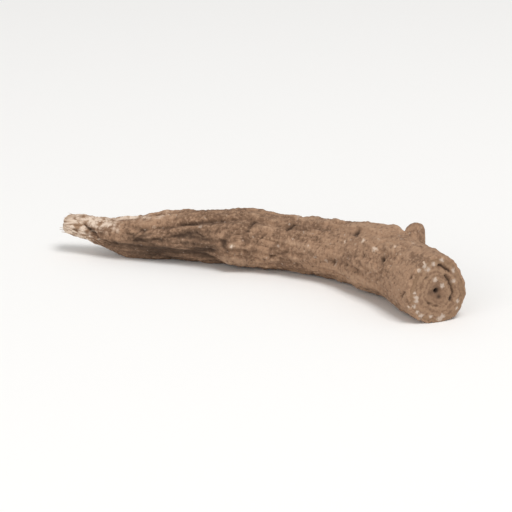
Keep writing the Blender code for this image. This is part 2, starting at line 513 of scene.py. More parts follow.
@dataclass
class GrownForm:
    """The main shapes of the dried body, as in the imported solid."""

    oval: float = 0.05
    oval_start: float = 0.6
    triangle: float = 0.035
    drift: float = 0.03
    lump_height: float = 0.6
    lump_run: float = 10.0
    wrinkle_height: float = 1.15
    wrinkle_mean: float = 0.22
    wrinkle_spacing: float = 2.7
    wrinkle_run: float = 15.0
    wrinkle_twist: float = 0.012
    full_radius: float = 6.0
    crown_share: float = 0.35
    crown_run: float = 42.0
    hollow_run: Run = (53.5, 58.5, 73.0, 79.0)
    hollow_depth: float = 0.18
    hollow_angle: float = math.radians(114)
    hollow_reach: float = math.radians(36)
    fold_height: float = 0.45
    fold_at: float = 53.0
    fold_width: float = 1.3
    fold_angle: float = math.radians(98)
    fold_reach: float = math.radians(38)
    furrows: tuple[Furrow, ...] = (
        Furrow(49.0, 75.5, 27, 58, 1.0, 0.85, slit_depth=0.24),
        Furrow(58.0, 77.0, 62, 92, 1.1, 0.35),
        Furrow(4.0, 42.0, 318, 296, 1.2, 0.60),
        Furrow(26.0, 64.0, 232, 250, 1.1, 0.55),
        Furrow(14.0, 36.0, 98, 88, 1.0, 0.40, slit_depth=0.1),
        Furrow(62.0, 84.0, 330, 312, 0.8, 0.50),
        Furrow(79.5, 89.5, 120, 5, 0.6, 0.90),
    )
    scars: tuple[Scar, ...] = (
        Scar(23.6, 26, 0.9, -0.7), Scar(12.5, 60, 0.9, -0.6), Scar(35.0, 272, 1.5, 0.6),
        Scar(41.4, 30, 1.0, -0.4), Scar(49.4, 43, 0.9, -0.35), Scar(73.5, 8, 0.9, 0.4),
        Scar(29.0, 150, 1.2, 0.4),
    )
    swells: tuple[Scar, ...] = (
        Scar(10.0, 345, 3.2, -0.55), Scar(17.4, 345, 1.9, 0.6), Scar(54.5, 5, 3.6, -0.45),
        Scar(63.5, 0, 3.6, 0.35), Scar(80.0, 0, 2.0, -0.25), Scar(86.0, 0, 2.0, 0.45),
    )

    def outline(self, spot: Spot) -> float:
        """Gives how far a section departs from a circle.

        Args:
            spot: Point of the plain skin.

        Returns:
            The share of the radius by which it stands out.
        """
        drift = self.drift * spot.s
        oval = self.oval * math.cos(2 * spot.theta - drift - self.oval_start)
        return oval + self.triangle * math.cos(3 * spot.theta + drift)

    def lumps(self, spot: Spot) -> float:
        """Height of the low swellings."""
        return self.lump_height * ring_noise(spot.theta, 0.9, 5.0 + spot.s / self.lump_run)

    def wrinkles(self, spot: Spot) -> float:
        """Gives the lengthwise wrinkles, with rounded ridges and narrow valleys.

        Args:
            spot: Point of the plain skin.

        Returns:
            Their height.
        """
        grain = self.full_radius / self.wrinkle_spacing
        theta = spot.theta + self.wrinkle_twist * spot.s
        ridge = abs(ring_noise(theta, grain, spot.s / self.wrinkle_run))
        full = self.crown_share + (1 - self.crown_share) * smooth_step(0, self.crown_run, spot.s)
        return self.wrinkle_height * full * (ridge - self.wrinkle_mean)

    def hollow(self, spot: Spot) -> float:
        """Gives the side that dried hollow under the tail.

        Args:
            spot: Point of the plain skin.

        Returns:
            Its depth, as a negative height.
        """
        inside = plateau(self.hollow_run, spot.s)
        aside = turn(spot.theta - self.hollow_angle)
        return -self.hollow_depth * spot.radius * inside * bell(aside, self.hollow_reach)

    def fold(self, spot: Spot) -> float:
        """Height of the raised fold where the hollow side stops."""
        along, aside = spot.s - self.fold_at, turn(spot.theta - self.fold_angle)
        return self.fold_height * bell(along, self.fold_width) * bell(aside, self.fold_reach)


@dataclass
class BarkRelief:
    """The low relief of shrunken bark, which only a close look shows."""

    # Height, twist, grain, place in the noise and run of the coarse and of the fine lines.
    striation_rows: tuple[tuple[float, float, float, float, float], ...] = (
        (0.50, 0.016, 5.4, 20, 7.0),
        (0.26, -0.010, 11.5, 40, 4.0),
    )
    striation_mean: float = 0.2
    crown_share: float = 0.4
    crown_run: float = 14.0
    crease: float = 0.28
    crease_width: float = 0.10
    crease_spacing: float = 1.7
    grains: tuple[tuple[float, float], ...] = ((1.5, 0.17), (0.8, 0.13), (0.42, 0.07))
    flank_fold: float = 0.38
    flank_run: float = 6.0
    speck_count: int = 110
    speck_seed: int = 7
    cracks: tuple[BarkCrack, ...] = (
        BarkCrack(41.4, 30, 5.0, 64, 0.28, 0.60, 0.06),
        BarkCrack(49.4, 43, 4.8, 68, 0.28, 0.58, 0.08),
        BarkCrack(46.8, 68, 3.8, 50, 0.24, 0.50, -0.06),
        BarkCrack(42.7, 96, 6.5, 22, 0.32, 0.45, 0.03),
        BarkCrack(51.5, 54, 2.2, 60, 0.22, 0.40, 0.00),
        BarkCrack(47.2, 14, 3.0, 35, 0.20, 0.40, -0.08),
        BarkCrack(52.2, 12, 3.2, 30, 0.20, 0.42, 0.05),
        BarkCrack(36.5, 8, 2.6, 60, 0.20, 0.38, -0.12),
        BarkCrack(31.0, 20, 2.2, 25, 0.18, 0.30, 0.10),
        BarkCrack(16.0, 70, 3.0, 62, 0.20, 0.22, 0.14),
        BarkCrack(7.4, 52, 4.4, 80, 0.22, 0.22, -0.10),
        BarkCrack(9.4, 38, 3.6, -9, 0.20, 0.30, 0.00),
        BarkCrack(9.2, 21, 4.0, -6, 0.20, 0.26, 0.00),
        BarkCrack(2.1, 96, 3.8, 53, 0.28, 0.60, 0.00),
        BarkCrack(84.4, 64, 4.6, 150, 0.32, 0.80, 0.05),
        BarkCrack(86.6, 30, 2.4, 160, 0.20, 0.35, 0.10),
        BarkCrack(86.0, 96, 2.2, 20, 0.20, 0.35, 0.10),
        BarkCrack(28.0, 200, 4.0, 70, 0.22, 0.30, 0.10),
        BarkCrack(45.0, 215, 3.4, 40, 0.22, 0.30, -0.10),
        BarkCrack(19.0, 262, 3.6, 75, 0.22, 0.30, 0.08),
        BarkCrack(57.0, 300, 3.4, 62, 0.22, 0.30, -0.08),
    )
    marks: tuple[Scar, ...] = (
        Scar(53.9, 86, 0.85, -0.95), Scar(52.0, 88, 0.80, 0.50), Scar(53.8, 125, 0.9, 0.35),
        Scar(73.5, 47, 0.6, -0.35), Scar(73.3, 83, 0.5, -0.25), Scar(67.9, 85, 0.5, -0.30),
        Scar(62.6, 90, 0.6, -0.25), Scar(23.7, 26, 0.45, -0.45), Scar(57.0, 108, 0.5, -0.30),
        Scar(43.6, 23, 0.45, -0.30), Scar(18.5, 65, 0.55, -0.22), Scar(38.5, 53, 0.45, -0.20),
        Scar(12.5, 60, 0.55, -0.32), Scar(13.4, 77, 0.60, -0.22), Scar(9.6, 80, 0.80, -0.20),
        Scar(14.5, 30, 0.50, -0.18), Scar(8.0, 23, 0.55, -0.18), Scar(4.3, 23, 0.70, -0.18),
        Scar(0.9, 58, 0.52, -0.70),
    )
    flecks: tuple[PaleFleck, ...] = (
        PaleFleck(35.0, 68, 0.42), PaleFleck(25.4, 50, 0.55), PaleFleck(20.1, 43, 0.80),
        PaleFleck(15.8, 50, 0.90), PaleFleck(10.7, 30, 0.62), PaleFleck(8.3, 7, 0.66),
        PaleFleck(52.0, 88, 0.50), PaleFleck(53.8, 124, 0.55), PaleFleck(69.5, 47, 0.45),
        PaleFleck(71.7, 352, 0.50), PaleFleck(74.3, 20, 0.55), PaleFleck(81.3, 107, 0.45),
        PaleFleck(86.6, 83, 0.45), PaleFleck(0.4, 23, 0.40), PaleFleck(0.3, 113, 0.42),
    )
    # Angle, width and share of the radius of each fleck on the sawn face.
    face_flecks: tuple[tuple[float, float, float], ...] = (
        (350, 0.52, 0.97), (22, 0.55, 0.80), (38, 0.50, 0.97), (317, 0.55, 0.88),
        (295, 0.55, 0.70), (10, 0.52, 0.40), (318, 0.58, 0.26), (98, 0.52, 0.78),
        (117, 0.40, 0.90), (142, 0.58, 0.92), (185, 0.62, 0.90), (194, 0.55, 0.84),
        (242, 0.50, 0.84), (26, 0.42, 0.96), (7, 0.45, 0.86), (86, 0.36, 0.84),
        (108, 0.42, 0.78), (130, 0.45, 0.94), (164, 0.42, 0.82), (228, 0.42, 0.92),
    )
    # Painted shade under the tail, where the side faces down: the depth of a valley just as dark,
    # its run along the root, and its angle and reach round the root.
    underside_shade_depth: float = 0.30
    underside_shade_run: Run = (54.0, 59.0, 77.0, 84.0)
    underside_shade_angle: float = math.radians(118)
    underside_shade_reach: float = math.radians(54)
    knot_at: float = 12.5
    knot_angle: float = math.radians(60)
    knot_spacing: float = 1.05
    knot_height: float = 0.15
    knot_run: Run = (1.0, 1.6, 3.2, 4.6)
    knot_squeeze: float = 0.9
    specks: list[Scar] = field(init=False)

    def __post_init__(self) -> None:
        """Scatters small bosses and pits over the bark, and sets the flecks of the sawn face."""
        face = (PaleFleck(0.0, angle, width, share) for angle, width, share in self.face_flecks)
        self.flecks += tuple(face)
        dice = np.random.RandomState(self.speck_seed)
        self.specks = [
            Scar(
                float(dice.uniform(1.5, 88.0)),
                float(dice.uniform(0, 360)),
                float(dice.uniform(0.28, 0.62)),
                float(dice.choice((-0.30, -0.20, -0.14, 0.12, 0.18))),
            )
            for _ in range(self.speck_count)
        ]

    def striations(self, spot: Spot) -> float:
        """Gives the fine lengthwise lines between the wrinkles.

        Args:
            spot: Point of the plain skin.

        Returns:
            Their height.
        """
        total = 0.0
        for height, twist, grain, at, run in self.striation_rows:
            line = abs(ring_noise(spot.theta + twist * spot.s, grain, at + spot.s / run))
            total += height * (line - self.striation_mean)
        grown = smooth_step(0, self.crown_run, spot.s)
        return (self.crown_share + (1 - self.crown_share) * grown) * total

    def creases(self, spot: Spot) -> float:
        """Gives the shallow cracks that run across the bark in patches.

        Args:
            spot: Point of the plain skin.

        Returns:
            Their depth, as a negative height.
        """
        s, theta = spot.s, spot.theta
        patch = smooth_step(-0.05, 0.35, ring_noise(theta, 1.3, 60 + s / 8.0))
        warped = s / self.crease_spacing + 1.3 * ring_noise(theta, 2.0, 70 + s / 5.0)
        line = abs(ring_noise(theta, 2.4, 80 + warped))
        return -self.crease * patch * bell(line, self.crease_width)

    def flank_folds(self, spot: Spot, hollow: float) -> float:
        """Gives the wavy folds in the side that dried hollow.

        Args:
            spot: Point of the plain skin.
            hollow: Depth of the hollow there, as a negative height.

        Returns:
            Their height.
        """
        waver = 0.06 * ring_noise(spot.theta, 1.5, spot.s / 4.0)
        fold = abs(ring_noise(spot.theta + waver, 4.2, 100 + spot.s / self.flank_run))
        return -self.flank_fold * hollow * (fold - self.striation_mean)

    def granules(self, place: Vector) -> float:
        """Height of the sandy grain of the cork."""
        return sum(height * noise.noise(place / size) for size, height in self.grains)

    def underside_shade(self, spot: Spot) -> float:
        """Strength of the painted shade low on the underside of the tail, as the height of a valley
        just as dark.
        """
        aside = turn(spot.theta - self.underside_shade_angle)
        return -self.underside_shade_depth * plateau(self.underside_shade_run, spot.s) * bell(aside, self.underside_shade_reach)

    def knot_rings(self, spot: Spot) -> float:
        """Gives the ripples that bend round the large rootlet scar near the crown.

        Args:
            spot: Point of the plain skin.

        Returns:
            Their height.
        """
        across = turn(spot.theta - self.knot_angle) * spot.radius
        distance = math.hypot(spot.s - self.knot_at, across * self.knot_squeeze)
        ripple = math.cos(2 * math.pi * distance / self.knot_spacing)
        return self.knot_height * plateau(self.knot_run, distance) * ripple

    def near(self, s: float) -> "LocalRelief":
        """Picks the marks that reach a row of the skin.

        Args:
            s: Distance of the row along the root.

        Returns:
            The marks that touch it.
        """
        scars = [mark for mark in (*self.marks, *self.specks) if mark.near(s)]
        cracks = [crack for crack in self.cracks if crack.near(s)]
        return LocalRelief(scars, cracks, [fleck for fleck in self.flecks if fleck.near(s)])


@dataclass(frozen=True)
class LocalRelief:
    """The small marks that touch one row of the skin."""

    scars: list[Scar]
    cracks: list[BarkCrack]
    flecks: list[PaleFleck]

    def height(self, spot: Spot) -> float:
        """Height of all of these marks at a point of the skin."""
        total = sum(scar.rise(spot) for scar in self.scars)
        return total + sum(crack.drop(spot) for crack in self.cracks)

    def paleness(self, section: Section, theta: float) -> float:
        """Share of the surface rubbed pale by the flecks at a point of the skin."""
        return min(1.0, sum(fleck.rubbed(section, theta) for fleck in self.flecks))


@dataclass(frozen=True)
class RingCrack:
    """A crack that follows a growth ring of the sawn face."""

    share: float
    middle: float
    reach: float
    depth: float
    broad: float = 0.06
    slit: float = 0.030
    cut: float = 0.30
    drift: float = 0.0
    wobble: float = 0.025
    taper_start: float = 0.7

    def drop(self, share: float, theta: float) -> tuple[float, float]:
        """Gives the crack's broad shape and the slit along it.

        Args:
            share: Share of the radius.
            theta: Angle round the root.

        Returns:
            Depth of the broad shape and of the slit.
        """
        turned = turn(theta - math.radians(self.middle)) / math.radians(self.reach)
        inside = 1 - smooth_step(self.taper_start, 1, abs(turned))
        if inside == 0:
            return 0.0, 0.0
        aside = share - self.share - self.drift * turned
        wobble = self.wobble * noise.noise(Vector((theta * 4, self.middle, 0)))
        broad = self.depth * inside * bell(aside, self.broad)
        slit = self.cut * inside * bell(aside - wobble, self.slit)
        return broad, slit


@dataclass
class SawnCrown:
    """The sawn end: a leaning cut, a pith hole, rings, rays and cracks."""

    rim_rounding: float = 0.55
    lean: float = 0.10
    lean_towards: float = math.radians(200)
    lean_run: float = 1.6
    dome: float = 0.35
    pith_depth: float = 0.7
    pith_width: float = 0.13
    pith_shade: float = 0.22
    pith_fill: float = 0.30
    crack_shade: float = 0.3
    ring_spacing: float = 1.02
    ring_height: float = 0.003
    grit_height: float = 0.10
    grit_per_mm: float = 2.2
    cracks: tuple[RingCrack, ...] = (
        RingCrack(0.755, -22, 22, 0.4, slit=0.042, cut=0.24, drift=0.035),
        RingCrack(0.560, -77, 58, 0.4, slit=0.045, cut=0.22, drift=-0.02),
    )
    fine_cracks: tuple[RingCrack, ...] = (
        RingCrack(0.475, 155, 34, 0.06, broad=0.05, slit=0.04, cut=0.24),
        RingCrack(0.86, 262, 26, 0.0, slit=0.03, cut=0.18),
        RingCrack(0.64, 60, 30, 0.0, slit=0.035, cut=0.16),
    )
    # Share of the radius, angle, width and depth of the pith hole and the holes beside it.
    holes: tuple[tuple[float, float, float, float], ...] = (
        (0.03, 25, 0.060, 0.75),
        (0.20, 203, 0.085, 0.40),
        (0.24, 95, 0.13, 0.26),
        (0.59, 35, 0.07, 0.26),
        (0.57, 236, 0.08, 0.30),
        (0.42, 140, 0.07, 0.16),
        (0.72, 60, 0.06, 0.16),
        (0.52, 196, 0.10, 0.14),
    )

    def pits(self, x: float, y: float) -> float:
        """Gives the pith hole and the small holes beside it.

        Args:
            x: Place up the cut face, as a share of the radius.
            y: Place across the cut face, as a share of the radius.

        Returns:
            Their depth.
        """
        total = 0.0
        for at, angle, width, depth in self.holes:
            turned = math.radians(angle)
            away = math.hypot(x - at * math.cos(turned), y - at * math.sin(turned))
            total += depth * bell(away, width)
        return total

    def height(self, share: float, theta: float, radius: float) -> tuple[float, float]:
        """Gives how far the sawn face stands out of the crown.

        Args:
            share: Share of the radius.
            theta: Angle round the root.
            radius: Radius of the crown.

        Returns:
            Height of the face, and how deep this point lies in a crack or hole, as a
            negative height.
        """
        x, y = share * math.cos(theta), share * math.sin(theta)
        pith = bell(share, self.pith_width)
        height = self.lean * radius * share * math.cos(theta - self.lean_towards)
        height += self.dome * (1 - share * share)
        height -= self.pith_depth * pith
        lie = -self.pits(x, y) - self.pith_shade * pith
        for crack in (*self.cracks, *self.fine_cracks):
            broad, slit = crack.drop(share, theta)
            height -= broad
            lie -= slit + self.crack_shade * broad
        inside_edge = smooth_step(1.0, 0.8, share)
        wavy = share * radius + 0.9 * ring_noise(theta, 1.6 * share, 3.0)
        ring = self.ring_height * math.cos(2 * math.pi * wavy / self.ring_spacing)
        grit = self.grit_height * noise.noise(Vector((x, y, 4)) * radius * self.grit_per_mm)
        return height + (lie + self.pith_fill * pith) * inside_edge + ring + grit, lie


@dataclass
class TornTail:
    """The torn end: ragged over its last few mm, with the bark gone from it."""

    run: float = 5.0
    height: float = 1.3
    splinter: float = 0.8
    dome: float = 0.95
    bare_run: tuple[float, float] = (76.5, 86.0)
    bare_angle: float = math.radians(15)
    bare_edge: tuple[float, float] = (0.3, 0.9)
    end_run: tuple[float, float] = (79.5, 85.5)
    rub_run: tuple[float, float] = (62.0, 71.0)
    rub_angle: float = math.radians(6)
    rub_reach: float = 0.40
    rub_share: float = 0.75
    most_worn: float = 0.85

    def along(self, section: Section, theta: float, length: float) -> float:
        """Gives how far the torn end stands out along the root.

        Args:
            section: Row of the skin.
            theta: Angle round the root.
            length: Length of the root along its axis.

        Returns:
            The distance past the row's own place.
        """
        near = smooth_step(length - self.run, length, section.s)
        ragged = self.height * ring_noise(theta, 1.6, 2.5)
        ragged += self.splinter * near * ring_noise(theta, 5.0, 9.0)
        tear = section.share * near * ragged
        if section.s < length:
            return tear
        return tear + self.dome * section.radius * math.sqrt(max(0.0, 1 - section.share**2))

    def worn(self, spot: Spot) -> float:
        """Gives the share of the bark that has come away and shows pale wood.

        Args:
            spot: Point of the plain skin.

        Returns:
            The share there.
        """
        s, theta = spot.s, spot.theta
        ragged = 3.5 * ring_noise(theta, 1.5, s / 3.5) + 2.0 * ring_noise(theta, 3.5, s / 1.6)
        upper = smooth_step(*self.bare_edge, math.cos(theta - self.bare_angle))
        bare = smooth_step(*self.bare_run, s + ragged + 2.0 * upper) * (0.15 + 0.85 * upper)
        end = self.most_worn * smooth_step(*self.end_run, s + 0.4 * ragged)
        rubbed = self.rub_share * bell(turn(theta - self.rub_angle), self.rub_reach)
        rubbed *= smooth_step(*self.rub_run, s + ragged)
        return min(self.most_worn, max(bare, end, rubbed))


@dataclass
class RootSkin:
    """The whole outside of the root as one closed skin."""

    centre: CentreLine = field(default_factory=CentreLine)
    form: GrownForm = field(default_factory=GrownForm)
    bark: BarkRelief = field(default_factory=BarkRelief)
    crown: SawnCrown = field(default_factory=SawnCrown)
    tail: TornTail = field(default_factory=TornTail)
    stubs: tuple[Stub, ...] = (
        Stub(14.0, 326, 2.15, 1.8, 2.9),
        Stub(49.0, 248, 1.45, 1.1, 1.0),
        Stub(63.5, 286, 1.3, 1.0, 1.3),
    )
    around: int = 216
    face_rows: int = 40
    rim_rows: int = 5
    body_rows: int = 326
    tail_rows: int = 12
    centre_calm: float = 0.35
    ground_softness: float = 0.22
    furrow_lie: float = 0.4
    # Share of the hollow side's depth laid into the colour as painted shade.
    hollow_shade: float = 0.45
    fleck_wear: float = 0.7
    stub_wear: float = 0.35
    weld: float = 1e-6
    stub_feet: list[tuple[Vector, Vector]] = field(init=False)

    def __post_init__(self) -> None:
        """Finds where each stub leaves the skin and the way it grows."""
        self.stub_feet = [self.stub_foot(stub) for stub in self.stubs]

    def stub_foot(self, stub: Stub) -> tuple[Vector, Vector]:
        """Gives where a stub leaves the skin.

        Args:
            stub: The stub.

        Returns:
            Its foot on the skin, and the way it grows: outwards, leaning towards the tail.
        """
        section, theta = self.centre.section(stub.at), math.radians(stub.angle)
        spot = Spot(stub.at, theta, section.radius)
        reach = section.radius * (1 + self.form.outline(spot)) + self.form.lumps(spot)
        outward = section.outward(theta)
        way = outward * math.cos(stub.lean) + section.heading * math.sin(stub.lean)
        return section.point + outward * reach, way

    def rows(self) -> list[Section]:
        """Cuts the root into the rows of its skin.

        Returns:
            The rows, from the middle of the crown to the middle of the tail's end.
        """
        centre, rounding, quarter = self.centre, self.crown.rim_rounding, math.pi / 2
        body, rim_rows, tail_rows = centre.length - rounding, self.rim_rows, self.tail_rows
        face = (k / self.face_rows for k in range(self.face_rows + 1))
        rim = (rounding * (1 - math.cos(quarter * k / rim_rows)) for k in range(1, rim_rows + 1))
        sides = (rounding + body * k / self.body_rows for k in range(1, self.body_rows + 1))
        end = (max(0.0, math.cos(quarter * k / tail_rows)) for k in range(1, tail_rows + 1))
        rows = [centre.section(0.0, share, Zone.SAWN) for share in face]
        rows += [centre.section(s) for s in (*rim, *sides)]
        return rows + [centre.section(centre.length, share) for share in end]

    def relief(self, section: Section, spot: Spot, local: LocalRelief) -> tuple[float, float]:
        """Gives the height of the skin over its plain outline.

        Args:
            section: Row of the skin.
            spot: Point of the plain skin.
            local: The small marks that touch the row.

        Returns:
            The height, and how high this point lies over the skin close round it, lowered further
            by the painted shade of the hollow side and of the underside of the tail.
        """
        form, bark, s = self.form, self.bark, spot.s
        full = min(1.0, spot.radius / form.full_radius)
        hollow = form.hollow(spot)
        lie = full * (form.wrinkles(spot) + bark.striations(spot))
        lie += bark.creases(spot) + bark.knot_rings(spot)
        lie += bark.flank_folds(spot, hollow)
        height = full * form.lumps(spot) + form.fold(spot)
        for furrow in form.furrows:
            if furrow.near(s):
                broad, slit = furrow.height(spot)
                height += (1 - self.furrow_lie) * broad
                lie += self.furrow_lie * broad + slit
        lie += sum(scar.rise(spot) for scar in form.scars if scar.near(s))
        lie += local.height(spot)
        into_rim = 1 - min(1.0, s / self.crown.rim_rounding)
        rounding = self.crown.rim_rounding * (1 - math.sqrt(1 - into_rim * into_rim))
        height += bark.granules(section.straight(spot.theta)) - rounding
        height += sum(swell.rise(spot) for swell in form.swells if swell.near(s))
        # Painted shade: the hollow side and the underside of the tail darken the colour like deeper
        # valleys.
        return height + hollow + lie, lie + self.hollow_shade * hollow + bark.underside_shade(spot)

    def point(
        self, section: Section, theta: float, local: LocalRelief
    ) -> tuple[Vector, Vector, float, float]:
        """Gives one point of the skin.

        Args:
            section: Row of the skin.
            theta: Angle round the root.
            local: The small marks that touch the row.

        Returns:
            The place in mm, the place with the root pulled straight, how high the point lies
            over the skin close round it, and the share of bare wood there.
        """
        s, share, radius = section.s, section.share, section.radius
        spot = Spot(s, theta, radius)
        height, lie = self.relief(section, spot, local)
        calm = smooth_step(0, self.centre_calm, share)
        reach = share * (radius * (1 + self.form.outline(spot)) + height * calm)
        along = self.tail.along(section, theta, self.centre.length)
        face, face_lie = self.crown.height(share, theta, radius)
        along -= face * max(0.0, 1 - s / self.crown.lean_run)
        if section.zone is Zone.SAWN:
            lie = face_lie
        outward = section.outward(theta)
        place = section.point + outward * reach + section.heading * along
        worn = local.paleness(section, theta)
        if section.zone is Zone.BARK:
            worn = max(self.fleck_wear * worn, self.tail.worn(spot))
        straight = section.straight(theta)
        for stub, (foot, way) in zip(self.stubs, self.stub_feet):
            if section.zone is Zone.BARK and stub.near(s):
                rise, dome, broken = stub.rise(spot)
                place += way * dome * (rise - (place - foot).dot(way))
                straight += Vector((math.cos(theta), math.sin(theta), 0)) * dome * rise
                worn = max(worn, self.stub_wear * broken)
        if place.z < self.ground_softness:
            place.z = self.ground_softness * math.exp(place.z / self.ground_softness - 1)
        return place, straight, lie, worn

    def build(self) -> bpy.types.Object:
        """Rolls a grid up into the skin.

        Returns:
            The skin, closed at its seam and both ends, with its patterns' attributes.
        """
        rows = self.rows()
        marks = [self.bark.near(section.s) for section in rows]
        last = len(rows) - 1
        shape = bmesh.new()
        bmesh.ops.create_grid(shape, x_segments=last, y_segments=self.around, size=1.0)
        lie_layer = shape.verts.layers.float.new("lie")
        worn_layer = shape.verts.layers.float.new("worn")
        straight_layer = shape.verts.layers.float_vector.new("straight")
        for face in shape.faces:
            row = int((face.calc_center_median().x + 1) / 2 * last)
            face.material_index = rows[row + 1].zone.value
            face.smooth = True
        for vert in shape.verts:
            row = round((vert.co.x + 1) / 2 * last)
            theta = (vert.co.y + 1) * math.pi
            place, straight, lie, worn = self.point(rows[row], theta, marks[row])
            vert.co = place * MM
            vert[lie_layer] = lie
            vert[worn_layer] = worn
            vert[straight_layer] = straight
        bmesh.ops.remove_doubles(shape, verts=shape.verts, dist=self.weld)
        bmesh.ops.recalc_face_normals(shape, faces=shape.faces)
        return keep(shape, "root_skin")

    def dress(self, skin: bpy.types.Object) -> None:
        """Gives the skin its finishes and its place in the frame.

        Args:
            skin: The built skin.
        """
        skin.data.materials.append(DriedBark().material())
        skin.data.materials.append(SawnRootWood().material())
        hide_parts(NODE)
        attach(skin, BODY)


@dataclass
class TailFibres:
    """Slivers of torn wood that stand out of the tail's end."""

    skin: RootSkin
    count: int = 16
    seed: int = 11
    sides: int = 6
    lengths: tuple[float, float] = (1.0, 2.4)
    radii: tuple[float, float] = (0.10, 0.24)
    shares: tuple[float, float] = (0.45, 0.86)
    spread: tuple[float, float] = (-0.05, 0.22)
    tip_share: float = 0.2
    sunk: float = 1.3

    def add_sliver(self, shape: bmesh.types.BMesh, dice: np.random.RandomState) -> None:
        """Adds one tapering sliver, sunk into the torn end.

        Args:
            shape: Shape that takes the sliver.
            dice: Source of its size and place.
        """
        centre = self.skin.centre
        section = centre.section(centre.length)
        theta, share = float(dice.uniform(0, 2 * math.pi)), float(dice.uniform(*self.shares))
        length = float(dice.uniform(*self.lengths)) + self.sunk
        radius = float(dice.uniform(*self.radii))
        cone = bmesh.ops.create_cone(
            shape,
            cap_ends=True,
            segments=self.sides,
            radius1=radius,
            radius2=self.tip_share * radius,
            depth=length,
            matrix=Matrix.Translation((0, 0, length / 2)),
        )
        outward = section.outward(theta)
        foot = section.point + outward * share * section.radius - section.heading * self.sunk
        lean = (section.heading + outward * float(dice.uniform(*self.spread))).normalized()
        turned = Vector((0, 0, 1)).rotation_difference(lean).to_matrix().to_4x4()
        bmesh.ops.transform(shape, matrix=Matrix.Translation(foot) @ turned, verts=cone["verts"])

    def build(self) -> bpy.types.Object:
        """Builds all of the slivers as one piece.

        Returns:
            The piece, dressed and in its place.
        """
        dice = np.random.RandomState(self.seed)
        shape = bmesh.new()
        for _ in range(self.count):
            self.add_sliver(shape, dice)
        bmesh.ops.scale(shape, vec=(MM, MM, MM), verts=shape.verts)
        fibres = keep(shape, "tail_fibres")
        fibres.data.shade_smooth()
        fibres.data.materials.append(TornRootWood().material())
        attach(fibres, BODY)
        return fibres


@dataclass(frozen=True)
class Grain:
    """A noise that coats of colour follow: its size in mm, its detail and where it is read."""

    name: str
    size: float
    detail: float
    roughness: float = 0.5
    place: str = "straight"


@dataclass(frozen=True)
class Coat:
    """One coat of colour that shows where a pattern's value lies past a band.

    The strength is the share of the coat where it shows in full. Where broken_by names
    another pattern, the share is multiplied by it.
    """

    pattern: str
    paint: str
    start: float
    full: float
    strength: float = 1.0
    slope: Slope = Slope.SOFT
    broken_by: str = ""

    def over(
        self,
        tree: bpy.types.NodeTree,
        found: Patterns,
        under: Socket | Colour,
        paint: Socket | None = None,
    ) -> Socket:
        """Lays the coat over a colour.

        Args:
            tree: Node tree that takes the nodes.
            found: Values of the patterns by name.
            under: Colour under the coat.
            paint: Colour to lay instead of the coat's own.

        Returns:
            The colour with the coat on it.
        """
        band = {"From Min": self.start, "From Max": self.full, "To Max": self.strength}
        share = add_node(
            tree,
            "ShaderNodeMapRange",
            {"interpolation_type": self.slope.value},
            {"Value": found[self.pattern], **band},
        )
        if self.broken_by:
            inputs = {0: share, 1: found[self.broken_by]}
            share = add_node(tree, "ShaderNodeMath", {"operation": "MULTIPLY"}, inputs)
        inputs = {MIX_FACTOR: share, MIX_A: under, MIX_B: paint or linear(self.paint)}
        return add_node(tree, "ShaderNodeMix", {"data_type": "RGBA"}, inputs, MIX_RESULT)


@dataclass(frozen=True)
class RootFinish:
    """A dull finish of the root: coats of colour over a base, and a fine grain in relief.

    Where a grain is named for the relief, it stands out by bump_height in mm.
    """

    name: str
    base: str
    coats: tuple[Coat, ...]
    grains: tuple[Grain, ...]
    roughness: float
    relief: str = ""
    bump_height: float = 0.0

    def patterns(self, tree: bpy.types.NodeTree) -> Patterns:
        """Adds the patterns that the coats follow, on the root pulled straight.

        Args:
            tree: Node tree that takes the nodes.

        Returns:
            The value of each pattern by name.
        """
        found = skin_marks(tree)
        found |= self.places(tree, found["straight"])
        for grain in self.grains:
            inputs = {
                "Vector": found[grain.place],
                "Scale": 1 / grain.size,
                "Detail": grain.detail,
                "Roughness": grain.roughness,
            }
            found[grain.name] = add_node(tree, "ShaderNodeTexNoise", {}, inputs)
        return found

    def places(self, tree: bpy.types.NodeTree, straight: Socket) -> Patterns:
        """Places in the pattern besides the root pulled straight; none in a plain finish."""
        return {}

    def coloured(self, tree: bpy.types.NodeTree, found: Patterns) -> Socket:
        """Lays the coats over the base.

        Args:
            tree: Node tree that takes the nodes.
            found: Values of the patterns by name.

        Returns:
            The colour with all of the coats.
        """
        first, *others = self.coats
        colour = first.over(tree, found, linear(self.base))
        for coat in others:
            colour = coat.over(tree, found, colour)
        return colour

    def material(self) -> bpy.types.Material:
        """Makes the material.

        Returns:
            The material, with its coats and its relief.
        """
        material, shader = start_material(self.name, self.roughness)
        tree = material.node_tree
        found = self.patterns(tree)
        tree.links.new(self.coloured(tree, found), shader.inputs["Base Color"])
        if self.relief:
            inputs = {
                "Height": found[self.relief],
                "Distance": self.bump_height * MM,
                "Strength": 1.0,
            }
            tree.links.new(add_node(tree, "ShaderNodeBump", {}, inputs), shader.inputs["Normal"])
        return material


